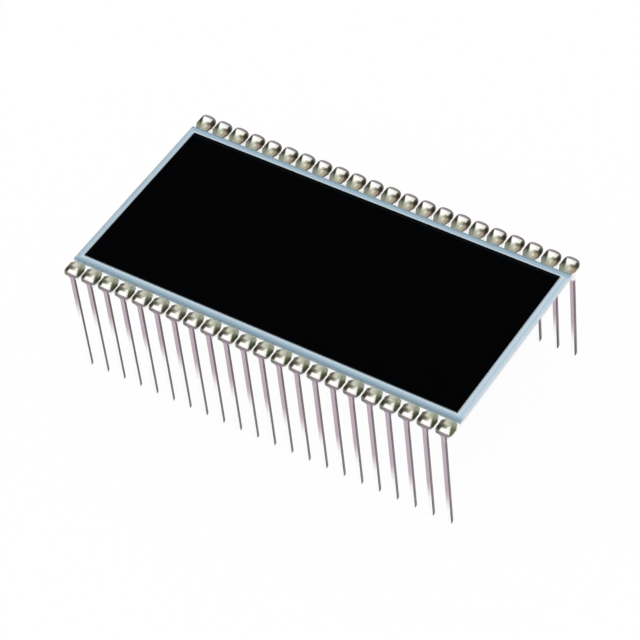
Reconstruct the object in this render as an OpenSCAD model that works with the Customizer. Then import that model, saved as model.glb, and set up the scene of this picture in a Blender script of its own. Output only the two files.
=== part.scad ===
// Segment liquid crystal display with a row of edge clip leads along each long side.
// X runs along the lead rows, Y from the front row to the back row, and Z is up.
// The display stands on its lead tips at Z 0, centred on X and Y, and is read from above.

/* [Glass] */
// Thickness of the lower glass plate, which carries the contact ledges
lower_glass_thickness = 0.4; // [0.3:0.05:1.1]
// Thickness of the upper glass plate
upper_glass_thickness = 0.4; // [0.3:0.05:1.1]
// Gap between the two plates, drawn wider than a real cell's few microns
cell_gap = 0.06; // [0.02:0.01:0.1]
// Width of the contact ledge that the upper plate leaves bare along each lead row
ledge_width = 1.85; // [1.7:0.05:3]
// Glass past the last clip head at each end of a row
end_margin = 0.03; // [0:0.01:3]

/* [Polarizers] */
// Thickness of each polarizer film
polarizer_thickness = 0.18; // [0.1:0.01:0.3]
// Bare glass round the upper polarizer at the short sides
upper_border_x = 1.0; // [0.3:0.1:3]
// Bare glass round the upper polarizer at the long sides
upper_border_y = 1.0; // [0.3:0.1:3]
// Distance of the lower polarizer from the edge of the upper glass, all round
lower_border = 1.2; // [0.3:0.1:3]

/* [Seal and filling port] */
// Distance of the seal from the edge of the upper glass
seal_inset = 0.1; // [0.05:0.05:0.3]
// Width of the seal line
seal_width = 0.9; // [0.6:0.05:1.5]
// Radius of the seal's outer corners
seal_corner = 0.3; // [0.1:0.05:1]
// Radius of the seal's inner corners, at the liquid crystal
cell_corner = 0.6; // [0.3:0.1:1]
// Width of the filling port in the left short side
port_width = 4; // [2:0.5:6]
// Depth of the end plug inside the filling port
plug_depth = 0.6; // [0.3:0.05:0.8]
// Length of the end plug's bead on the glass edge
plug_length = 6; // [5:0.5:10]
// Height that the bead stands out from the glass edge
plug_bulge = 0.12; // [0.08:0.01:0.25]
// Glass edge left bare above and below the bead
plug_edge = 0.1; // [0.05:0.01:0.2]
// Radius of the conductive dots that join the two plates' electrodes
dot_radius = 0.4; // [0.2:0.05:0.8]
// Space between a conductive dot and the seal
dot_inset = 0.5; // [0.2:0.05:2]

/* [Lead rows] */
// Number of leads in each row
leads_per_row = 22; // [8:1:25]
// Distance from one lead to the next
pitch = 2.54; // [2.4:0.01:5.08]
// Distance between the centre planes of the two rows
row_spacing = 30.48; // [20:0.01:60]
// Height of the lower glass above the lead tips
stand_off = 16.3; // [5:0.1:30]
// Space between the glass edge and the leads' upright webs
edge_gap = 0.04; // [0.02:0.01:0.1]

/* [Lead] */
// Thickness of the metal strip
lead_thickness = 0.34; // [0.2:0.01:0.36]
// Width of the straight stem
stem_width = 0.6; // [0.4:0.05:0.6]
// Width of the cut end of the stem
tip_width = 0.4; // [0.2:0.02:0.4]
// Length of the taper at the end of the stem
tip_length = 0.4; // [0.2:0.05:1]
// Width of the domed clip head
head_width = 2.2; // [2:0.05:2.35]
// Height of the head above the contact ledge
head_height = 0.6; // [0.5:0.01:0.8]
// Radius of the head's rolled shoulders and outer corners
shoulder_radius = 0.45; // [0.38:0.01:0.5]
// Width of the head's nose, next to the upper glass
nose_width = 1.5; // [1.4:0.05:1.85]
// Length over which the head narrows towards its nose
nose_taper = 0.85; // [0.5:0.05:1]
// Radius of the nose's two corners
nose_corner = 0.3; // [0.2:0.05:0.4]
// Space between the nose and the edge of the upper glass
nose_gap = 0.15; // [0.1:0.05:0.4]
// Length of the nose's flat contact on the ledge
contact_length = 0.3; // [0.15:0.05:0.4]
// Space between the rim of the head and the ledge
rim_gap = 0.05; // [0.02:0.01:0.1]
// Width of the slot between the stem and each lower prong
prong_slot = 0.08; // [0.05:0.01:0.12]
// Inner radius of the prong's bend
prong_bend = 0.15; // [0.12:0.01:0.2]
// Upward slope of the prong towards its contact under the glass, in degrees
prong_slope = 12; // [10:1:16]
// Length of the prong's flat contact under the glass
prong_contact = 0.35; // [0.2:0.05:0.5]
// Distance from the glass edge to the start of the prong's contact
prong_reach = 0.75; // [0.65:0.05:0.9]

/* [Hidden] */
lead_row_x = (leads_per_row - 1) * pitch;
glass_length = lead_row_x + head_width + 2 * end_margin;
lower_depth = row_spacing - lead_thickness - 2 * edge_gap;
upper_depth = lower_depth - 2 * ledge_width;

ledge_z = stand_off + lower_glass_thickness;
upper_glass_z = ledge_z + cell_gap;
top_z = upper_glass_z + upper_glass_thickness;

seal_length = glass_length - 2 * seal_inset;
seal_depth = upper_depth - 2 * seal_inset;
cell_length = seal_length - 2 * seal_width;
cell_depth = seal_depth - 2 * seal_width;

web_outer_y = (row_spacing + lead_thickness) / 2;
web_inner_y = web_outer_y - lead_thickness;
nose_y = upper_depth / 2 + nose_gap;
head_top_z = ledge_z + head_height;
shoulder = min(shoulder_radius, head_height - rim_gap);
web_width = head_width - 2 * shoulder;
web_top_z = head_top_z - shoulder;
crown_y = web_outer_y - shoulder;

// The crown bows down so that its underside meets the ledge where the contact starts
bow_run = crown_y - nose_y - contact_length;
bow_fall = head_height - lead_thickness;
bow_inner = (bow_run * bow_run + bow_fall * bow_fall) / (2 * bow_fall);

// The prong's upper face leaves the bend and rises to meet the glass where its contact starts
bend_y = web_inner_y - prong_bend;
prong_start_y = lower_depth / 2 - prong_reach;
prong_end_y = prong_start_y - prong_contact;
bend_z = stand_off + prong_bend / cos(prong_slope) - (bend_y - prong_start_y) * tan(prong_slope);
slot_z = stand_off + prong_bend;

overrun = 1;
tin = [0.70, 0.68, 0.66];
glass_tint = [0.68, 0.78, 0.85, 0.6];
film_black = [0.03, 0.03, 0.04];
seal_blue = [0.78, 0.86, 0.92];
resin = [0.85, 0.84, 0.76];
paste = [0.75, 0.75, 0.74];
crystal = [0.80, 0.82, 0.78, 0.5];

$fn = 48;

function lead_name(row, i) = str(row, "_lead_", i < 10 ? "0" : "", i);
function lead_x(i) = (i - (leads_per_row + 1) / 2) * pitch;

// A flat sheet centred on X and Y, with its lower face at z
module sheet(length, depth, thickness, z) {
    translate([-length / 2, -depth / 2, z]) cube([length, depth, thickness]);
}

module rounded_rectangle(length, depth, radius) {
    square([length - 2 * radius, depth], center = true);
    square([length, depth - 2 * radius], center = true);
    for (x = [-1, 1], y = [-1, 1])
        translate([x * (length / 2 - radius), y * (depth / 2 - radius)]) circle(r = radius);
}

module lower_glass() {
    color(glass_tint) sheet(glass_length, lower_depth, lower_glass_thickness, stand_off);
}

module upper_glass() {
    color(glass_tint) sheet(glass_length, upper_depth, upper_glass_thickness, upper_glass_z);
}

module lower_polarizer() {
    length = glass_length - 2 * lower_border;
    depth = upper_depth - 2 * lower_border;
    color(film_black) sheet(length, depth, polarizer_thickness, stand_off - polarizer_thickness);
}

module upper_polarizer() {
    length = glass_length - 2 * upper_border_x;
    depth = upper_depth - 2 * upper_border_y;
    color(film_black) sheet(length, depth, polarizer_thickness, top_z);
}

// The filling port's channel, from the glass edge to past the seal
module port(reach) {
    translate([-glass_length / 2, -port_width / 2]) square([reach, port_width]);
}

module perimeter_seal() {
    color(seal_blue) translate([0, 0, ledge_z]) linear_extrude(cell_gap) difference() {
        rounded_rectangle(seal_length, seal_depth, seal_corner);
        rounded_rectangle(cell_length, cell_depth, cell_corner);
        port(seal_inset + seal_width + overrun);
    }
}

// A bead of cured resin bowed out from the glass edge, with a tongue in the port
module fill_plug() {
    bow_radius = (plug_length * plug_length / 4 + plug_bulge * plug_bulge) / (2 * plug_bulge);
    bottom_z = stand_off + plug_edge;
    color(resin) {
        translate([0, 0, ledge_z]) linear_extrude(cell_gap) port(plug_depth);
        translate([-glass_length / 2, 0, bottom_z]) linear_extrude(top_z - plug_edge - bottom_z)
            intersection() {
                translate([bow_radius - plug_bulge, 0]) circle(r = bow_radius, $fn = 720);
                translate([-plug_bulge, -plug_length / 2]) square([plug_bulge, plug_length]);
            }
    }
}

module dot_outline(side) {
    edge = dot_inset + dot_radius;
    translate([edge - cell_length / 2, side * (cell_depth / 2 - edge)]) circle(r = dot_radius);
}

module transfer_dot(side) {
    color(paste) translate([0, 0, ledge_z]) linear_extrude(cell_gap) dot_outline(side);
}

module liquid_crystal() {
    color(crystal) translate([0, 0, ledge_z]) linear_extrude(cell_gap) {
        difference() {
            union() {
                rounded_rectangle(cell_length, cell_depth, cell_corner);
                port(seal_inset + seal_width + overrun);
            }
            port(plug_depth);
            for (side = [-1, 1]) dot_outline(side);
        }
    }
}

// Extrudes an outline in Y and Z across the lead, from x to x + width
module across(x, width) {
    translate([x, 0, 0]) rotate([90, 0, 90]) linear_extrude(width) children();
}

// A block with rolled top edges and a rolled outer end with ball corners
module pillow(width, outer_y, top, radius) {
    half = width / 2 - radius;
    inner_y = nose_y - overrun;
    run = outer_y - radius - inner_y;
    roll_z = top - radius;
    depth = roll_z - ledge_z;
    translate([-half, inner_y, ledge_z]) cube([2 * half, run, top - ledge_z]);
    translate([-half - radius, inner_y, ledge_z]) cube([2 * (half + radius), run, depth]);
    translate([-half, inner_y, ledge_z]) cube([2 * half, run + radius, depth]);
    across(-half, 2 * half) translate([outer_y - radius, roll_z]) circle(r = radius);
    for (side = [-1, 1]) translate([side * half, outer_y - radius, 0]) {
        translate([0, 0, roll_z]) rotate([90, 0, 0]) cylinder(r = radius, h = run);
        translate([0, 0, roll_z]) sphere(r = radius);
        translate([0, 0, ledge_z]) cylinder(r = radius, h = depth);
    }
}

// Space under the bowed crown, seen from the side
module under_bow(radius, top) {
    translate([crown_y, ledge_z]) square([shoulder + overrun, top - ledge_z]);
    intersection() {
        translate([crown_y, top - radius]) circle(r = radius);
        translate([nose_y, ledge_z]) square([crown_y - nose_y, head_height]);
    }
}

// Outline of the head seen from above, narrowing to a nose with rounded corners
module head_plan() {
    taper_y = nose_y + nose_taper;
    flat = nose_width - 2 * nose_corner;
    polygon([
        [-head_width / 2, web_outer_y],
        [-head_width / 2, taper_y],
        [-nose_width / 2, nose_y + nose_corner],
        [nose_width / 2, nose_y + nose_corner],
        [head_width / 2, taper_y],
        [head_width / 2, web_outer_y]
    ]);
    translate([-flat / 2, nose_y]) square([flat, 2 * nose_corner]);
    for (side = [-1, 1]) translate([side * flat / 2, nose_y + nose_corner]) circle(r = nose_corner);
}

module head() {
    contact_y = nose_y + contact_length;
    inner_top = head_top_z - lead_thickness;
    difference() {
        intersection() {
            pillow(head_width, web_outer_y, head_top_z, shoulder);
            across(-head_width, 2 * head_width) under_bow(bow_inner + lead_thickness, head_top_z);
            translate([0, 0, ledge_z]) linear_extrude(head_height) head_plan();
        }
        intersection() {
            pillow(head_width - 2 * lead_thickness, web_inner_y, inner_top, shoulder - lead_thickness);
            across(-head_width, 2 * head_width) under_bow(bow_inner, inner_top);
        }
        translate([-head_width, contact_y, ledge_z - overrun])
            cube([2 * head_width, web_outer_y, overrun + rim_gap]);
    }
}

// The upright web and the stem, cut from one flat strip
module web_and_stem() {
    translate([0, web_outer_y, 0]) rotate([90, 0, 0]) linear_extrude(lead_thickness) {
        translate([-web_width / 2, slot_z]) square([web_width, web_top_z - slot_z]);
        translate([-stem_width / 2, tip_length]) square([stem_width, slot_z - tip_length]);
        polygon([
            [-tip_width / 2, 0],
            [-stem_width / 2, tip_length],
            [stem_width / 2, tip_length],
            [tip_width / 2, 0]
        ]);
    }
}

// Side view of one lower prong: down the web, round the bend and up to the glass
module prong_outline() {
    outer = prong_bend + lead_thickness;
    run = bend_y - prong_end_y;
    translate([web_inner_y, bend_z]) square([lead_thickness, web_top_z - bend_z]);
    translate([bend_y, bend_z]) intersection() {
        difference() {
            circle(r = outer);
            circle(r = prong_bend);
        }
        translate([-2 * outer, -2 * outer]) square([4 * outer, 2 * outer]);
        rotate(-prong_slope) translate([0, -2 * outer]) square([2 * outer, 4 * outer]);
    }
    intersection() {
        translate([bend_y, bend_z]) rotate(-prong_slope)
            translate([-2 * run, -outer]) square([2 * run, lead_thickness]);
        translate([prong_end_y, stand_off - 2 * outer]) square([run, 2 * outer]);
    }
}

module prong(side) {
    inner_x = stem_width / 2 + prong_slot;
    width = web_width / 2 - inner_x;
    across(side > 0 ? inner_x : -inner_x - width, width) prong_outline();
}

// One edge clip lead with its web on the back side of the glass
module lead() {
    color(tin) {
        head();
        web_and_stem();
        for (side = [-1, 1]) prong(side);
    }
}

module front_lead(i) {
    translate([lead_x(i), 0, 0]) rotate([0, 0, 180]) lead();
}

module back_lead(i) {
    translate([lead_x(i), 0, 0]) lead();
}

lower_glass();
upper_glass();
lower_polarizer();
upper_polarizer();
perimeter_seal();
fill_plug();
liquid_crystal();
transfer_dot(-1);  // transfer_dot_front
transfer_dot(1);  // transfer_dot_back
for (i = [1 : leads_per_row]) {
    front_lead(i);
    back_lead(i);
}
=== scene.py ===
import math

import bmesh
import bpy
from mathutils import Matrix, Vector


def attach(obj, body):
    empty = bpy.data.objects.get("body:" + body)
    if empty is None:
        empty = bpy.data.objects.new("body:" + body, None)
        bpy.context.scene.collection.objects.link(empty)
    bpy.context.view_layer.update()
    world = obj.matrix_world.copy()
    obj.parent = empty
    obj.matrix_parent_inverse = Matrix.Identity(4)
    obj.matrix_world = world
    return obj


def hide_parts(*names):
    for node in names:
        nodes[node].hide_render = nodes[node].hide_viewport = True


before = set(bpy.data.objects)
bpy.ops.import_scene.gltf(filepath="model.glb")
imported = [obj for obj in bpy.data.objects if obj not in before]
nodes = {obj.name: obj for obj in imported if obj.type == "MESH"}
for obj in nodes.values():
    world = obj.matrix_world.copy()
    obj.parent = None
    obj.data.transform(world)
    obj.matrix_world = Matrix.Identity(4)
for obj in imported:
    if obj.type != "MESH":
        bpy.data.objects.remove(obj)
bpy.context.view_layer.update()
print("frame loaded:", len(nodes), "nodes")

leadNames = [name for name in nodes if "_lead_" in name]
millimetre = 0.001

# Places and lengths below are in millimetres. Out is the distance from the part's middle
# line. A pair of places is where something begins and where it is full, and two more numbers
# are its amounts there. Three numbers are the two ends of a band and how soft they are.


# Leads: the plain heads are pressed fuller, with a domed crown and a rounder outer end

pressing = {
    "pitch": 2.54,
    "perRow": 22,
    "ledge": 16.7,                # top of the contact ledge
    "rim": 16.75,                 # lower edge of the head
    "rimSlack": 0.01,             # the head begins this far under its rim
    "headHalf": 1.1,
    "headHeight": 0.6,
    "rise": 0.62,                 # how much taller the crown gets, as a share of its height
    "riseOut": (13.5, 14.7),
    "overhang": 0.3,              # how far the outer end stands out past the web
    "overhangOut": (14.2, 15.2),
    "wallOut": (15.35, 15.1),     # the shell's inner wall is pushed out less near the rim,
    "wallRise": 0.4,              # and fully from this far above it
    "dome": 0.33,                 # fall of the crown towards its sides
    "arch": 0.13,                 # rounding of the outer end, seen from above
    "noseSpread": 0.18,           # how much wider the nose gets, as a share of its width
    "noseOut": (14.3, 13.4),
    "acrossStep": 0.13,           # spacing of the cuts that let the head bend
    "alongStep": 0.15,
    "alongEnds": (13.33, 15.1),
    "upCuts": (-0.03, 0, 0.12, 0.24, 0.36),
    "cutReach": 0.06,             # faces that end lower than this under the rim aren't cut
    "snap": 0.002,                # a corner this near a cut counts as on it
    "sliver": 0.0005,             # shorter edges are dissolved
    "weld": 1e-7,                 # in metres
    "sharpAngle": 40,             # in degrees
}


def smoothStep(value, low, high):
    share = min(max((value - low) / (high - low), 0.0), 1.0)
    return share * share * (3 - 2 * share)


def pressedPoint(across, out, height):
    # where one point of a lead goes: across the strip, out from the middle line, and up
    ledge, rim = pressing["ledge"], pressing["rim"]
    if height < rim - pressing["rimSlack"]:
        return across, out, height
    side = (across / pressing["headHalf"]) ** 2
    crown = smoothStep(out, *pressing["riseOut"])
    wall = smoothStep(out, *pressing["wallOut"])
    lift = 1 - wall * (1 - smoothStep(height, rim, rim + pressing["wallRise"]))
    overhang = pressing["overhang"] - pressing["arch"] * side
    push = overhang * smoothStep(out, *pressing["overhangOut"]) * lift
    share = (height - ledge) / pressing["headHeight"]
    tall = (height - ledge) * (1 + pressing["rise"] * crown)
    tall -= pressing["dome"] * side * share * crown
    wide = 1 + pressing["noseSpread"] * smoothStep(out, *pressing["noseOut"])
    return across * wide, out + push, ledge + tall


def cutAcross(bm, place, direction):
    # split the head's faces along one plane, so that they can bend there
    lowest = pressing["rim"] - pressing["cutReach"]
    faces = [face for face in bm.faces if max(v.co.z for v in face.verts) > lowest]
    edges = {edge for face in faces for edge in face.edges}
    verts = {vert for face in faces for vert in face.verts}
    bmesh.ops.bisect_plane(bm, geom=[*verts, *edges, *faces], dist=pressing["snap"],
                           plane_co=place, plane_no=direction)


def leadPlace(number):
    return (number - (pressing["perRow"] + 1) / 2) * pressing["pitch"]


def makePressedLead():
    # worked in millimetres about the lead's own middle, on a copy of a back lead
    bm = bmesh.new()
    bm.from_mesh(nodes["back_lead_01"].data)
    bmesh.ops.remove_doubles(bm, verts=bm.verts, dist=pressing["weld"])
    bmesh.ops.scale(bm, vec=(1 / millimetre,) * 3, verts=bm.verts)
    bmesh.ops.translate(bm, vec=(-leadPlace(1), 0, 0), verts=bm.verts)
    steps = round(pressing["headHalf"] / pressing["acrossStep"])
    for step in range(-steps, steps + 1):
        cutAcross(bm, (step * pressing["acrossStep"], 0, 0), (1, 0, 0))
    noseEnd, lastCut = pressing["alongEnds"]
    out = noseEnd + pressing["alongStep"]
    while out < lastCut:
        cutAcross(bm, (0, out, 0), (0, 1, 0))
        out += pressing["alongStep"]
    for height in pressing["upCuts"]:
        cutAcross(bm, (0, 0, pressing["rim"] + height), (0, 0, 1))
    bmesh.ops.triangulate(bm, faces=bm.faces)
    for vert in bm.verts:
        vert.co = pressedPoint(*vert.co)
    bmesh.ops.dissolve_degenerate(bm, dist=pressing["sliver"], edges=bm.edges)
    bmesh.ops.recalc_face_normals(bm, faces=bm.faces)
    for edge in bm.edges:
        edge.smooth = edge.calc_face_angle(0) < math.radians(pressing["sharpAngle"])
    for face in bm.faces:
        face.smooth = True
    return bm


def makeLeads():
    master = makePressedLead()
    made = []
    for name in leadNames:
        row, number = name.split("_lead_")
        bm = master.copy()
        if row == "front":
            turn = Matrix.Rotation(math.pi, 3, "Z")
            bmesh.ops.rotate(bm, cent=(0, 0, 0), matrix=turn, verts=bm.verts)
        bmesh.ops.translate(bm, vec=(leadPlace(int(number)), 0, 0), verts=bm.verts)
        bmesh.ops.scale(bm, vec=(millimetre,) * 3, verts=bm.verts)
        mesh = bpy.data.meshes.new("pressed_" + name)
        bm.to_mesh(mesh)
        bm.free()
        piece = bpy.data.objects.new("pressed_" + name, mesh)
        bpy.context.scene.collection.objects.link(piece)
        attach(piece, "root")
        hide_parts(name)
        made.append(piece)
    print("leads pressed:", len(made), "of", len(master.faces), "faces each")
    master.free()
    return made


pressedLeads = makeLeads()


# Small helpers for shader trees

def newMaterial(name):
    material = bpy.data.materials.new(name)
    material.use_nodes = True
    tree = material.node_tree
    return material, tree, tree.nodes["Principled BSDF"]


def plug(tree, value, socket):
    # a value may be a number, a colour or another node's output
    if isinstance(value, (int, float)):
        socket.default_value = value
    elif isinstance(value, tuple):
        socket.default_value = (*value, 1)
    else:
        tree.links.new(value, socket)


def maths(tree, operation, first, second=None, third=None, clamp=False):
    node = tree.nodes.new("ShaderNodeMath")
    node.operation = operation
    node.use_clamp = clamp
    for index, value in enumerate((first, second, third)):
        if value is not None:
            plug(tree, value, node.inputs[index])
    return node.outputs[0]


def times(tree, *values):
    result = values[0]
    for value in values[1:]:
        result = maths(tree, "MULTIPLY", result, value)
    return result


def minus(tree, first, second):
    return maths(tree, "SUBTRACT", first, second)


def larger(tree, first, second):
    return maths(tree, "MAXIMUM", first, second)


def absolute(tree, value):
    return maths(tree, "ABSOLUTE", value)


def line(tree, value, slope, start):
    # value times slope plus start
    return maths(tree, "MULTIPLY_ADD", value, slope, start)


def between(tree, share, low, high):
    return line(tree, share, high - low, low)


def ramp(tree, value, low, high, toLow=0.0, toHigh=1.0):
    # smooth step from toLow at low to toHigh at high
    node = tree.nodes.new("ShaderNodeMapRange")
    node.interpolation_type = "SMOOTHSTEP"
    tree.links.new(value, node.inputs["Value"])
    ends = (low, high, toLow, toHigh)
    for socket, end in zip(("From Min", "From Max", "To Min", "To Max"), ends):
        node.inputs[socket].default_value = end
    return node.outputs["Result"]


def band(tree, value, start, end, soft):
    # 1 between start and end, 0 outside
    rise = ramp(tree, value, start - soft, start + soft)
    fall = ramp(tree, value, end - soft, end + soft, 1.0, 0.0)
    return times(tree, rise, fall)


def blend(tree, factor, first, second):
    node = tree.nodes.new("ShaderNodeMix")
    node.data_type = "RGBA"
    node.clamp_factor = True
    plug(tree, factor, node.inputs["Factor"])
    # the Mix node's colour sockets are numbers 6 and 7 in, and 2 out
    plug(tree, first, node.inputs[6])
    plug(tree, second, node.inputs[7])
    return node.outputs[2]


def tone(red, green, blue):
    # a colour as read off a screen, 0 to 255, made linear by the sRGB curve
    def linear(value):
        value = value / 255
        return value / 12.92 if value <= 0.04045 else ((value + 0.055) / 1.055) ** 2.4
    return (linear(red), linear(green), linear(blue))


def millimetreAxes(tree):
    # object coordinates in millimetres, whole and split
    coordinates = tree.nodes.new("ShaderNodeTexCoord")
    scale = tree.nodes.new("ShaderNodeVectorMath")
    scale.operation = "SCALE"
    scale.inputs["Scale"].default_value = 1 / millimetre
    tree.links.new(coordinates.outputs["Object"], scale.inputs[0])
    split = tree.nodes.new("ShaderNodeSeparateXYZ")
    tree.links.new(scale.outputs[0], split.inputs[0])
    return scale.outputs[0], split.outputs[0], split.outputs[1], split.outputs[2]


def facing(tree):
    geometry = tree.nodes.new("ShaderNodeNewGeometry")
    split = tree.nodes.new("ShaderNodeSeparateXYZ")
    tree.links.new(geometry.outputs["Normal"], split.inputs[0])
    return split.outputs[0], split.outputs[1], split.outputs[2]


wallFacing = {"side": (0.6, 0.4), "short": (0.4, 0.6)}


def wallMasks(tree):
    # 1 on every upright face, and 1 on those of the two short sides
    normalX, _, normalZ = facing(tree)
    side = ramp(tree, absolute(tree, normalZ), *wallFacing["side"])
    short = ramp(tree, absolute(tree, normalX), *wallFacing["short"])
    return side, short


def makeMottleGroup():
    # uneven tone and a fine surface height, used by every finish here
    group = bpy.data.node_groups.new("mottle", "ShaderNodeTree")
    for name, kind in (("Vector", "NodeSocketVector"), ("Patch Scale", "NodeSocketFloat"),
                       ("Grain Scale", "NodeSocketFloat"), ("Depth", "NodeSocketFloat")):
        group.interface.new_socket(name=name, in_out="INPUT", socket_type=kind)
    for name in ("Tone", "Height"):
        group.interface.new_socket(name=name, in_out="OUTPUT", socket_type="NodeSocketFloat")
    inputs = group.nodes.new("NodeGroupInput")
    outputs = group.nodes.new("NodeGroupOutput")
    patches = group.nodes.new("ShaderNodeTexNoise")
    grain = group.nodes.new("ShaderNodeTexNoise")
    for node, scale, detail in ((patches, "Patch Scale", 2.0), (grain, "Grain Scale", 4.0)):
        node.inputs["Detail"].default_value = detail
        group.links.new(inputs.outputs["Vector"], node.inputs["Vector"])
        group.links.new(inputs.outputs[scale], node.inputs["Scale"])
    both = maths(group, "ADD", patches.outputs["Fac"], grain.outputs["Fac"])
    centred = minus(group, both, 1.0)
    toned = line(group, centred, inputs.outputs["Depth"], 1.0)
    group.links.new(toned, outputs.inputs["Tone"])
    group.links.new(grain.outputs["Fac"], outputs.inputs["Height"])
    return group


mottleGroup = makeMottleGroup()


def mottle(tree, vector, values):
    # values: the scales of patches and grain, and how much they change the tone
    node = tree.nodes.new("ShaderNodeGroup")
    node.node_tree = mottleGroup
    tree.links.new(vector, node.inputs["Vector"])
    for name, value in zip(("Patch Scale", "Grain Scale", "Depth"), values):
        node.inputs[name].default_value = value
    return node.outputs["Tone"], node.outputs["Height"]


def shade(tree, colour, amount):
    # multiply a colour by a grey amount
    node = tree.nodes.new("ShaderNodeVectorMath")
    node.operation = "SCALE"
    if isinstance(colour, tuple):
        node.inputs[0].default_value = colour
    else:
        tree.links.new(colour, node.inputs[0])
    tree.links.new(amount, node.inputs["Scale"])
    return node.outputs[0]


def bump(tree, shader, height, depth, strength):
    node = tree.nodes.new("ShaderNodeBump")
    node.inputs["Strength"].default_value = strength
    node.inputs["Distance"].default_value = depth * millimetre
    tree.links.new(height, node.inputs["Height"])
    tree.links.new(node.outputs["Normal"], shader.inputs["Normal"])


# Leads: tin plated strip, with painted highlights, painted reflections and painted shade on the
# heads, a painted reflection of the white ground at the stem ends, and painted shade along the stem
# edges

lead = {
    "mottle": (0.9, 7.0, 0.16),
    "wander": 0.35,                # how far the mottle bends the edges of the marks
    "leanHeight": 17.06,           # marks lean about this height, across and out
    "lean": (-0.58, -0.72),
    "bend": 14.4,                  # slanted sides of marks are drawn about this place

    # top of the head: painted highlights, a painted reflection and painted shade on a sand tone
    "sand": tone(180, 181, 164),
    # painted highlight: a light patch near the nose
    "highlightPatch": tone(212, 210, 190),
    "highlightPatchAcross": (-0.55, -0.1, 0.2),
    "highlightPatchOut": (13.6, 14.2, 0.2),
    # painted reflection: an olive patch towards the right of the head
    "oliveReflection": tone(160, 166, 146),
    "oliveReflectionAcross": (0.05, 0.5),
    "oliveReflectionOut": (14.4, 14.0),
    # painted shade: a dark brown streak from the left of the head
    "shadeStreak": tone(98, 92, 74),
    "shadeStreakAcross": (0.12, -0.5),
    "shadeStreakOut": (14.08, 14.42),
    "tongueHighlight": tone(243, 243, 235),   # painted highlight: a bright tongue inward from the crown
    "stubLeft": (-0.25, 0.15),     # slope and place of its sides
    "stubRight": (0.3, 0.43),
    "stubLeftEdge": (-0.1, 0.08),
    "stubRightEdge": (0.08, -0.08),
    "stubOut": (14.16, 14.62),
    "stubRowShift": 0.07,
    "stubAmount": (1.0, 0.86),     # in the front row and in the back row
    # painted highlight on the crown, brighter to the right
    "crownHighlightLow": tone(227, 228, 221),
    "crownHighlightHigh": tone(248, 247, 241),
    "crownAcross": (-0.64, -0.42),
    "crownOut": (14.68, 14.95),
    "crownToneAcross": (-0.4, 0.4),
    # painted light: the noses are paler in the front row and darker in the back row
    "noseOut": (14.4, 13.7),
    "noseLightByRow": 0.34,

    # painted shade on the rolled flanks
    "leftFlankShade": tone(102, 92, 78),
    "leftShade": tone(40, 37, 27),
    "leftShadeOut": (14.1, 14.75),
    "leftAmount": (1.0, 2.2),
    "leftAcross": (-0.5, -0.8),
    "leftOut": (13.3, 14.0, 0.3, 1.0),
    "leftBackShift": 0.09,         # the back row's left flank begins further in
    "leftBackOut": (14.6, 14.2),
    "rightFlankShade": tone(72, 76, 54),
    "rightAmount": (1.8, 0.4),
    "rightSide": (0.36, 0.46),
    "rightEdge": (-0.08, 0.14),
    "rightOut": (13.5, 14.6, 0.2, 1.0),

    # painted shade on the rim round the outer end
    "rimShade": tone(116, 117, 111),
    "rimMauveShade": tone(145, 132, 140),
    "rimToneAcross": (-0.5, 0.1),
    "rimCorner": -0.4,             # the rim gets wider to the left of this
    "rimCornerGrowth": 0.9,
    "rimOut": (15.36, 15.5),
    "uprightFacing": (0.8, 0.92),
    "uprightUp": (16.9, 17.02),

    # strip below the head
    "web": tone(248, 247, 248),
    "stem": tone(190, 171, 185),
    # painted reflection of the white ground at the stem ends
    "groundReflection": tone(255, 255, 255),
    # painted shade on the stem's edge faces, on a line up the web and on a band beside the edges
    "darkEdge": tone(96, 84, 90),
    "stemHalf": 0.3,
    "narrow": (0.36, 0.32),
    "groundReflectionSlope": -0.124,            # the painted reflection of the white ground reaches higher to the left
    "groundReflectionHeight": 8.2,
    "groundReflectionUp": (-3.0, 1.5),
    "edgeFacing": (0.5, 0.8),
    "innerFacing": (0.1, -0.1),
    "innerRowShift": 0.5,
    "glassUp": (13.5, 14.1),       # from here up, inner faces get a painted reflection and the back row's edge faces lose their painted shade
    # painted shade: a dark line up the web, then a dark band beside the stem's edge
    "webEdgeShadeLane": (0.32, 0.54, 0.03),
    "webEdgeShadeUp": (15.4, 15.8),
    "webEdgeShadeFacing": (0.4, 0.6),
    "edgeShadeBandWidth": 0.075,
    "edgeShadeBandGrowth": 0.0021,
    "edgeShadeBandRow": (0.0, 0.07),
    "edgeShadeBandLow": (1.5, -3.0, 0.55, 1.0),
    "edgeShadeBandSoft": (0.02, -0.02),
    "edgeShadeBandUp": (15.5, 15.0),

    # finish of the head and of the strip below it
    "headUp": (16.71, 16.74),
    "headMetal": 0.45,
    "stemMetal": 1.0,
    "headRoughness": 0.38,
    "stemRoughness": 0.26,
    "stemUnevenness": 0.25,        # how much of the mottle is left on the strip
    "specular": 0.2,
    "grainDepth": 0.004,
    "grainStrength": 0.5,
}


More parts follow.
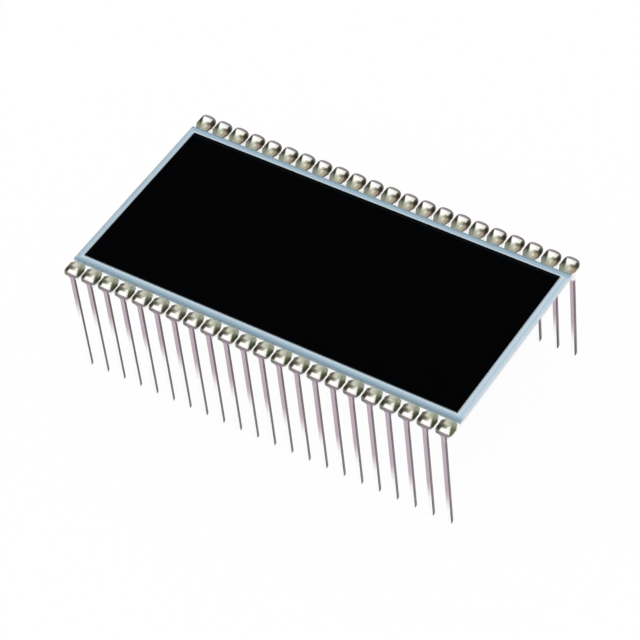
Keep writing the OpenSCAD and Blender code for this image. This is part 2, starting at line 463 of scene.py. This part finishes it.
def leadPlaces(tree):
    # row is 1 in front and -1 at the back; lane and across run along the row from the lead's
    # middle, turned with the row; across and out lean with the height by fixed amounts
    vector, x, y, z = millimetreAxes(tree)
    patchTone, grainHeight = mottle(tree, vector, lead["mottle"])
    wander = line(tree, patchTone, lead["wander"], -lead["wander"])
    row = times(tree, maths(tree, "SIGN", y), -1.0)
    rise = times(tree, minus(tree, z, lead["leanHeight"]), row)
    lane = maths(tree, "FRACT", maths(tree, "DIVIDE", x, pressing["pitch"]))
    lane = times(tree, minus(tree, lane, 0.5), pressing["pitch"])
    lane = line(tree, lane, row, wander)
    leanAcross, leanOut = lead["lean"]
    out = line(tree, rise, leanOut, maths(tree, "ADD", absolute(tree, y), wander))
    normalX, normalY, _ = facing(tree)
    return {
        "x": x, "z": z, "row": row, "lane": lane, "out": out,
        "across": line(tree, rise, leanAcross, lane),
        "fromBend": minus(tree, out, lead["bend"]),
        "facingOut": times(tree, normalY, maths(tree, "SIGN", y)),
        "facingAlong": absolute(tree, normalX),
        "patchTone": patchTone, "grainHeight": grainHeight,
    }


def perRow(tree, row, amounts):
    # one amount for the front row and one for the back row
    front, back = amounts
    return line(tree, row, (front - back) / 2, (front + back) / 2)


def headTop(tree, at):
    # on a sand tone: a painted highlight patch, an olive painted reflection, a dark streak of
    # painted shade, and the painted highlights of the bright tongue and crown
    row, across, out = at["row"], at["across"], at["out"]
    # painted highlight patch near the nose
    highlightPatch = times(tree, band(tree, across, *lead["highlightPatchAcross"]),
                  band(tree, out, *lead["highlightPatchOut"]))
    colour = blend(tree, highlightPatch, lead["sand"], lead["highlightPatch"])
    # an olive painted reflection, then a dark streak of painted shade
    for mark in ("oliveReflection", "shadeStreak"):
        mask = times(tree, ramp(tree, across, *lead[mark + "Across"]),
                     ramp(tree, out, *lead[mark + "Out"]))
        colour = blend(tree, mask, colour, lead[mark])
    # painted highlight: the bright tongue, with slanted sides
    fromLeft = minus(tree, across, line(tree, at["fromBend"], *lead["stubLeft"]))
    fromRight = minus(tree, across, line(tree, at["fromBend"], *lead["stubRight"]))
    inLeft = ramp(tree, fromLeft, *lead["stubLeftEdge"])
    inRight = ramp(tree, fromRight, *lead["stubRightEdge"])
    stubLine = line(tree, row, lead["stubRowShift"], out)
    tongueHighlight = times(tree, inLeft, inRight, ramp(tree, stubLine, *lead["stubOut"]))
    stubTone = shade(tree, lead["tongueHighlight"], perRow(tree, row, lead["stubAmount"]))
    colour = blend(tree, tongueHighlight, colour, stubTone)
    # painted highlight on the crown at the outer end, brighter to the right
    crown = times(tree, ramp(tree, across, *lead["crownAcross"]),
                  ramp(tree, out, *lead["crownOut"]))
    lit = ramp(tree, across, *lead["crownToneAcross"])
    colour = blend(tree, crown, colour, blend(tree, lit, lead["crownHighlightLow"], lead["crownHighlightHigh"]))
    # painted light: the noses of the front row are paler than those of the back row
    nose = times(tree, ramp(tree, out, *lead["noseOut"]), row)
    return shade(tree, colour, line(tree, nose, lead["noseLightByRow"], 1.0))


def headFlanks(tree, at, colour):
    # painted shade on the rolled flanks, of different depth in the two rows
    row, across, out = at["row"], at["across"], at["out"]
    left = blend(tree, ramp(tree, out, *lead["leftShadeOut"]), lead["leftFlankShade"], lead["leftShade"])
    left = shade(tree, left, perRow(tree, row, lead["leftAmount"]))
    shift = times(tree, ramp(tree, out, *lead["leftBackOut"]), minus(tree, row, 1.0))
    fromLeft = line(tree, shift, lead["leftBackShift"], across)
    leftMask = times(tree, ramp(tree, fromLeft, *lead["leftAcross"]),
                     ramp(tree, out, *lead["leftOut"]))
    colour = blend(tree, leftMask, colour, left)
    # painted shade on the right flank
    right = shade(tree, lead["rightFlankShade"], perRow(tree, row, lead["rightAmount"]))
    fromRight = minus(tree, across, line(tree, at["fromBend"], *lead["rightSide"]))
    rightMask = times(tree, ramp(tree, fromRight, *lead["rightEdge"]),
                      ramp(tree, out, *lead["rightOut"]))
    return blend(tree, rightMask, colour, right)


def headRim(tree, at, colour):
    row, across = at["row"], at["across"]
    # painted shade: a darker rim round the outer end, wider at the left corner
    corner = larger(tree, minus(tree, lead["rimCorner"], across), 0.0)
    rimLine = line(tree, times(tree, corner, corner), lead["rimCornerGrowth"], at["out"])
    rimTone = blend(tree, ramp(tree, across, *lead["rimToneAcross"]),
                    lead["rimShade"], lead["rimMauveShade"])
    # painted highlight: the upright outer ends of the back row stay bright down to the same rim as
    # in front
    upright = times(tree, ramp(tree, at["facingOut"], *lead["uprightFacing"]),
                    ramp(tree, at["z"], *lead["uprightUp"]),
                    larger(tree, times(tree, row, -1.0), 0.0))
    rimMask = times(tree, ramp(tree, rimLine, *lead["rimOut"]), minus(tree, 1.0, upright))
    return blend(tree, rimMask, colour, rimTone)


def stripColour(tree, at):
    # the web and prongs, then the stem, painted white towards its end as a reflection of the white
    # ground
    x, z, row, lane = at["x"], at["z"], at["row"], at["lane"]
    narrow = ramp(tree, absolute(tree, lane), *lead["narrow"])
    # painted reflection: the stem turns white towards its end
    height = minus(tree, z, line(tree, x, lead["groundReflectionSlope"], lead["groundReflectionHeight"]))
    stem = blend(tree, ramp(tree, height, *lead["groundReflectionUp"]), lead["groundReflection"], lead["stem"])
    colour = blend(tree, narrow, lead["web"], stem)
    # painted reflection: inner faces near the glass take the bright web tone
    inward = line(tree, row, lead["innerRowShift"], at["facingOut"])
    inner = times(tree, ramp(tree, inward, *lead["innerFacing"]), ramp(tree, z, *lead["glassUp"]))
    colour = blend(tree, inner, colour, lead["web"])

    # painted shade: a dark line up the web, dark edge faces, and a dark band beside them, which
    # is wider down the stem, to the right and in the back row
    webEdgeShade = times(tree, band(tree, lane, *lead["webEdgeShadeLane"]), ramp(tree, z, *lead["webEdgeShadeUp"]),
                   ramp(tree, at["facingOut"], *lead["webEdgeShadeFacing"]))
    # painted shade on the edge faces, left off the back row's edges near the glass
    darkUp = larger(tree, row, ramp(tree, z, *reversed(lead["glassUp"])))
    edge = times(tree, ramp(tree, at["facingAlong"], *lead["edgeFacing"]), darkUp, narrow)
    edgeShadeBand = line(tree, x, lead["edgeShadeBandGrowth"], lead["edgeShadeBandWidth"])
    edgeShadeBand = maths(tree, "ADD", edgeShadeBand, perRow(tree, row, lead["edgeShadeBandRow"]))
    edgeShadeBand = times(tree, edgeShadeBand, ramp(tree, height, *lead["edgeShadeBandLow"]))
    fromEdge = minus(tree, lead["stemHalf"], times(tree, lane, row))
    edgeShadeBand = ramp(tree, minus(tree, fromEdge, edgeShadeBand), *lead["edgeShadeBandSoft"])
    edgeShadeBand = times(tree, edgeShadeBand, narrow, ramp(tree, z, *lead["edgeShadeBandUp"]), darkUp)
    dark = larger(tree, larger(tree, edge, webEdgeShade), edgeShadeBand)
    return blend(tree, dark, colour, lead["darkEdge"])


def leadMaterial():
    material, tree, shader = newMaterial("tinPlatedLead")
    at = leadPlaces(tree)
    head = headRim(tree, at, headFlanks(tree, at, headTop(tree, at)))
    onHead = ramp(tree, at["z"], *lead["headUp"])
    colour = blend(tree, onHead, stripColour(tree, at), head)
    # the head is duller and more uneven than the strip below it
    unevenness = between(tree, onHead, lead["stemUnevenness"], 1.0)
    evenTone = line(tree, minus(tree, at["patchTone"], 1.0), unevenness, 1.0)
    plug(tree, shade(tree, colour, evenTone), shader.inputs["Base Color"])
    shader.inputs["Specular IOR Level"].default_value = lead["specular"]
    metal = between(tree, onHead, lead["stemMetal"], lead["headMetal"])
    plug(tree, metal, shader.inputs["Metallic"])
    rough = between(tree, onHead, lead["stemRoughness"], lead["headRoughness"])
    plug(tree, times(tree, at["patchTone"], rough), shader.inputs["Roughness"])
    bump(tree, shader, at["grainHeight"], lead["grainDepth"], lead["grainStrength"])
    return material


# Glass plates: pale blue where the seal lies under them, with painted highlights and painted shade
# on the border, clear on the ledges

glass = {
    "windowHalfX": 26.8,
    "windowHalfY": 12.18,
    # painted highlight: the border is lightest next to the window
    "inner": tone(221, 238, 248),
    "shortSide": tone(192, 217, 233),
    "shortSideAlong": (0.1, 0.6),
    # painted highlight on the far right edge, painted shade on the far left edge
    "rightEdge": tone(220, 233, 240),
    "rightEdgeX": (27.42, 27.8),
    "leftEdgeShade": tone(170, 190, 204),
    "leftEdgeShadeX": (-27.15, -27.6),
    "leftShadowLine": -0.85,             # painted shadow: a dark line along the window's left edge
    "leftShadowLineAlong": (0.42, 0.0),
    "leftShadowLineX": (-26.6, -26.8),
    "leftShadowLineAway": (0.1, -0.1),
    "middle": tone(165, 195, 214),
    "middleAway": (0.12, 0.55),
    "outer": tone(125, 152, 169),
    "outerAway": (0.5, 1.0),
    # painted light and shade: the walls of the short sides are much lighter than those of the long
    # sides
    "wall": tone(174, 196, 208),
    "shortWallLight": tone(228, 238, 244),
    "upperAlpha": 0.8,
    "upperRoughness": 0.08,
    "ledge": tone(250, 253, 254),
    "groundEdge": tone(205, 222, 230),
    "ledgeAlpha": 0.06,
    "longWallAlpha": 0.08,         # added on the walls of the long sides
    "ledgeRoughness": 0.04,
    "groundRoughness": 0.35,       # added on all walls
    "mottle": (0.35, 3.0, 0.06),
    "ior": 1.5,
}


def borderColour(tree, x, y):
    # along and away run from 0 at the window to 1 at the edge of the glass
    along = minus(tree, absolute(tree, x), glass["windowHalfX"])
    away = minus(tree, absolute(tree, y), glass["windowHalfY"])
    # lightest next to the window, a painted highlight; a painted highlight at the far right,
    # painted shade at the far left, a painted shadow along the window's left edge, and a blue that
    # darkens outward
    colour = blend(tree, ramp(tree, along, *glass["shortSideAlong"]),
                   glass["inner"], glass["shortSide"])
    for edge in ("rightEdge", "leftEdgeShade"):
        colour = blend(tree, ramp(tree, x, *glass[edge + "X"]), colour, glass[edge])
    leftShadowLine = times(tree, ramp(tree, along, *glass["leftShadowLineAlong"]),
                     ramp(tree, x, *glass["leftShadowLineX"]),
                     ramp(tree, away, *glass["leftShadowLineAway"]))
    colour = shade(tree, colour, line(tree, leftShadowLine, glass["leftShadowLine"], 1.0))
    for part in ("middle", "outer"):
        colour = blend(tree, ramp(tree, away, *glass[part + "Away"]), colour, glass[part])
    return colour


def upperGlassMaterial():
    material, tree, shader = newMaterial("borderGlass")
    vector, x, y, _ = millimetreAxes(tree)
    side, short = wallMasks(tree)
    patchTone, _ = mottle(tree, vector, glass["mottle"])
    # painted light on the short walls, painted shade on the long ones
    wall = blend(tree, short, glass["wall"], glass["shortWallLight"])
    colour = blend(tree, side, borderColour(tree, x, y), wall)
    plug(tree, shade(tree, colour, patchTone), shader.inputs["Base Color"])
    shader.inputs["Alpha"].default_value = glass["upperAlpha"]
    plug(tree, times(tree, patchTone, glass["upperRoughness"]), shader.inputs["Roughness"])
    shader.inputs["IOR"].default_value = glass["ior"]
    return material


def lowerGlassMaterial():
    material, tree, shader = newMaterial("ledgeGlass")
    vector, _, _, _ = millimetreAxes(tree)
    side, short = wallMasks(tree)
    patchTone, _ = mottle(tree, vector, glass["mottle"])
    colour = blend(tree, side, glass["ledge"], glass["groundEdge"])
    plug(tree, shade(tree, colour, patchTone), shader.inputs["Base Color"])
    longWall = minus(tree, side, short)
    alpha = line(tree, longWall, glass["longWallAlpha"], glass["ledgeAlpha"])
    plug(tree, alpha, shader.inputs["Alpha"])
    rough = line(tree, side, glass["groundRoughness"], glass["ledgeRoughness"])
    plug(tree, rough, shader.inputs["Roughness"])
    shader.inputs["IOR"].default_value = glass["ior"]
    return material


# Polarizer films: black faces, a faint painted sheen along the window's back edge, dark cut edges
# on the long sides and painted highlights on the cut edges of the short sides

film = {
    "face": (0.0006, 0.0007, 0.001),
    # painted sheen: a faintly lighter band along the window's back edge
    "backEdgeSheen": (0.0024, 0.0036, 0.0042),
    "backEdgeSheenDepth": (0.12, 0.5, 0.08),    # from the window's back edge
    "darkEdge": tone(76, 83, 89),
    # painted highlight on the cut edges of the short sides
    "sideCutEdgeHighlight": tone(190, 206, 216),
    "mottle": (0.2, 12.0, 0.3),
    "roughness": 0.3,
    "specular": 0.004,
    "grainDepth": 0.002,
    "grainStrength": 0.3,
}


def filmMaterial():
    material, tree, shader = newMaterial("polarizerFilm")
    vector, _, y, _ = millimetreAxes(tree)
    side, short = wallMasks(tree)
    patchTone, grainHeight = mottle(tree, vector, film["mottle"])
    depth = minus(tree, glass["windowHalfY"], y)
    # painted sheen along the window's back edge
    colour = blend(tree, band(tree, depth, *film["backEdgeSheenDepth"]), film["face"], film["backEdgeSheen"])
    # painted highlight on the short sides' cut edges
    cut = blend(tree, short, film["darkEdge"], film["sideCutEdgeHighlight"])
    colour = blend(tree, side, shade(tree, colour, patchTone), cut)
    plug(tree, colour, shader.inputs["Base Color"])
    plug(tree, times(tree, patchTone, film["roughness"]), shader.inputs["Roughness"])
    shader.inputs["Specular IOR Level"].default_value = film["specular"]
    bump(tree, shader, grainHeight, film["grainDepth"], film["grainStrength"])
    return material


# Seal, plug, paste and liquid crystal

smallParts = {
    "seal": {"colour": tone(228, 237, 243), "mottle": (0.8, 9.0, 0.12), "roughness": 0.55},
    "plug": {"colour": tone(222, 216, 190), "mottle": (0.6, 5.0, 0.16), "roughness": 0.22},
    "paste": {"colour": tone(176, 176, 172), "mottle": (2.5, 16.0, 0.3), "roughness": 0.5},
    "crystal": {"colour": tone(128, 134, 128), "mottle": (0.3, 4.0, 0.1), "roughness": 0.3},
    "grainDepth": 0.01,
    "grainStrength": 0.4,
}


def smallPartMaterial(name):
    values = smallParts[name]
    material, tree, shader = newMaterial(name + "Finish")
    vector, _, _, _ = millimetreAxes(tree)
    patchTone, grainHeight = mottle(tree, vector, values["mottle"])
    plug(tree, shade(tree, values["colour"], patchTone), shader.inputs["Base Color"])
    plug(tree, times(tree, patchTone, values["roughness"]), shader.inputs["Roughness"])
    bump(tree, shader, grainHeight, smallParts["grainDepth"], smallParts["grainStrength"])
    return material


def dress(material, *names):
    for name in names:
        mesh = nodes[name].data
        mesh.materials.clear()
        mesh.materials.append(material)


tinPlated = leadMaterial()
dress(tinPlated, *leadNames)
for piece in pressedLeads:
    piece.data.materials.append(tinPlated)
dress(upperGlassMaterial(), "upper_glass")
dress(lowerGlassMaterial(), "lower_glass")
dress(filmMaterial(), "lower_polarizer", "upper_polarizer")
dress(smallPartMaterial("seal"), "perimeter_seal")
dress(smallPartMaterial("plug"), "fill_plug")
dress(smallPartMaterial("crystal"), "liquid_crystal")
dress(smallPartMaterial("paste"), "transfer_dot_front", "transfer_dot_back")
print("materials done")


# Studio: a white ground and a white surround, which look white but light the part less

studio = {
    "white": (1, 1, 1, 1),
    "floorSize": 3.0,              # in metres
    "floorColour": (0.95, 0.95, 0.95, 1),
    "floorGlow": 0.97,
    "worldStrength": 0.75,
    "keyStrength": 1.1,
    "keySpread": 90,
    "keyAzimuth": -35,
    "keyElevation": 55,
}


def seenDirectly(tree):
    path = tree.nodes.new("ShaderNodeLightPath")
    seen = maths(tree, "ADD", path.outputs["Is Camera Ray"], path.outputs["Is Glossy Ray"])
    return maths(tree, "ADD", seen, path.outputs["Is Transmission Ray"], clamp=True)


def makeFloor():
    bpy.ops.mesh.primitive_plane_add(size=studio["floorSize"], location=(0, 0, 0))
    floor = bpy.context.object
    floor.name = "floor"
    material, tree, shader = newMaterial("whiteFloor")
    tree.nodes.remove(shader)
    diffuse = tree.nodes.new("ShaderNodeBsdfDiffuse")
    diffuse.inputs["Color"].default_value = studio["floorColour"]
    glow = tree.nodes.new("ShaderNodeEmission")
    glow.inputs["Color"].default_value = studio["white"]
    mix = tree.nodes.new("ShaderNodeMixShader")
    tree.links.new(times(tree, seenDirectly(tree), studio["floorGlow"]), mix.inputs[0])
    tree.links.new(diffuse.outputs[0], mix.inputs[1])
    tree.links.new(glow.outputs[0], mix.inputs[2])
    tree.links.new(mix.outputs[0], tree.nodes["Material Output"].inputs["Surface"])
    floor.data.materials.append(material)


def makeWorld():
    world = bpy.data.worlds.new("studioWorld")
    bpy.context.scene.world = world
    world.use_nodes = True
    tree = world.node_tree
    background = tree.nodes["Background"]
    background.inputs["Color"].default_value = studio["white"]
    strength = between(tree, seenDirectly(tree), studio["worldStrength"], 1)
    tree.links.new(strength, background.inputs["Strength"])


def aimed(azimuth, elevation):
    # looks along an azimuth, down by an elevation, both in degrees
    turn = Matrix.Rotation(math.radians(azimuth), 4, "Z")
    return turn @ Matrix.Rotation(math.radians(90 - elevation), 4, "X")


def makeKey():
    # a broad soft light from in front of the part, a little to the left
    data = bpy.data.lights.new("softKey", "SUN")
    data.energy = studio["keyStrength"]
    data.angle = math.radians(studio["keySpread"])
    key = bpy.data.objects.new("softKey", data)
    bpy.context.scene.collection.objects.link(key)
    key.matrix_world = aimed(studio["keyAzimuth"], studio["keyElevation"])


makeFloor()
makeWorld()
makeKey()


# Camera, as the photograph was taken

view = {
    "place": (148.257, -193.353, 274.55),
    "azimuth": 37.6603,
    "elevation": 47.6218,
    "roll": 7.0603,
    "lens": 163.125,
    "sensor": 36,
    "clip": (0.01, 10),            # in metres
}


def makeCamera():
    data = bpy.data.cameras.new("photoCamera")
    data.lens = view["lens"]
    data.sensor_width = view["sensor"]
    data.clip_start, data.clip_end = view["clip"]
    camera = bpy.data.objects.new("photoCamera", data)
    bpy.context.scene.collection.objects.link(camera)
    place = Matrix.Translation(Vector(view["place"]) * millimetre)
    roll = Matrix.Rotation(math.radians(-view["roll"]), 4, "Z")
    camera.matrix_world = place @ aimed(view["azimuth"], view["elevation"]) @ roll
    bpy.context.scene.camera = camera


makeCamera()
bpy.context.scene.view_settings.view_transform = "Standard"
print("studio and camera set")

print("scene finished")
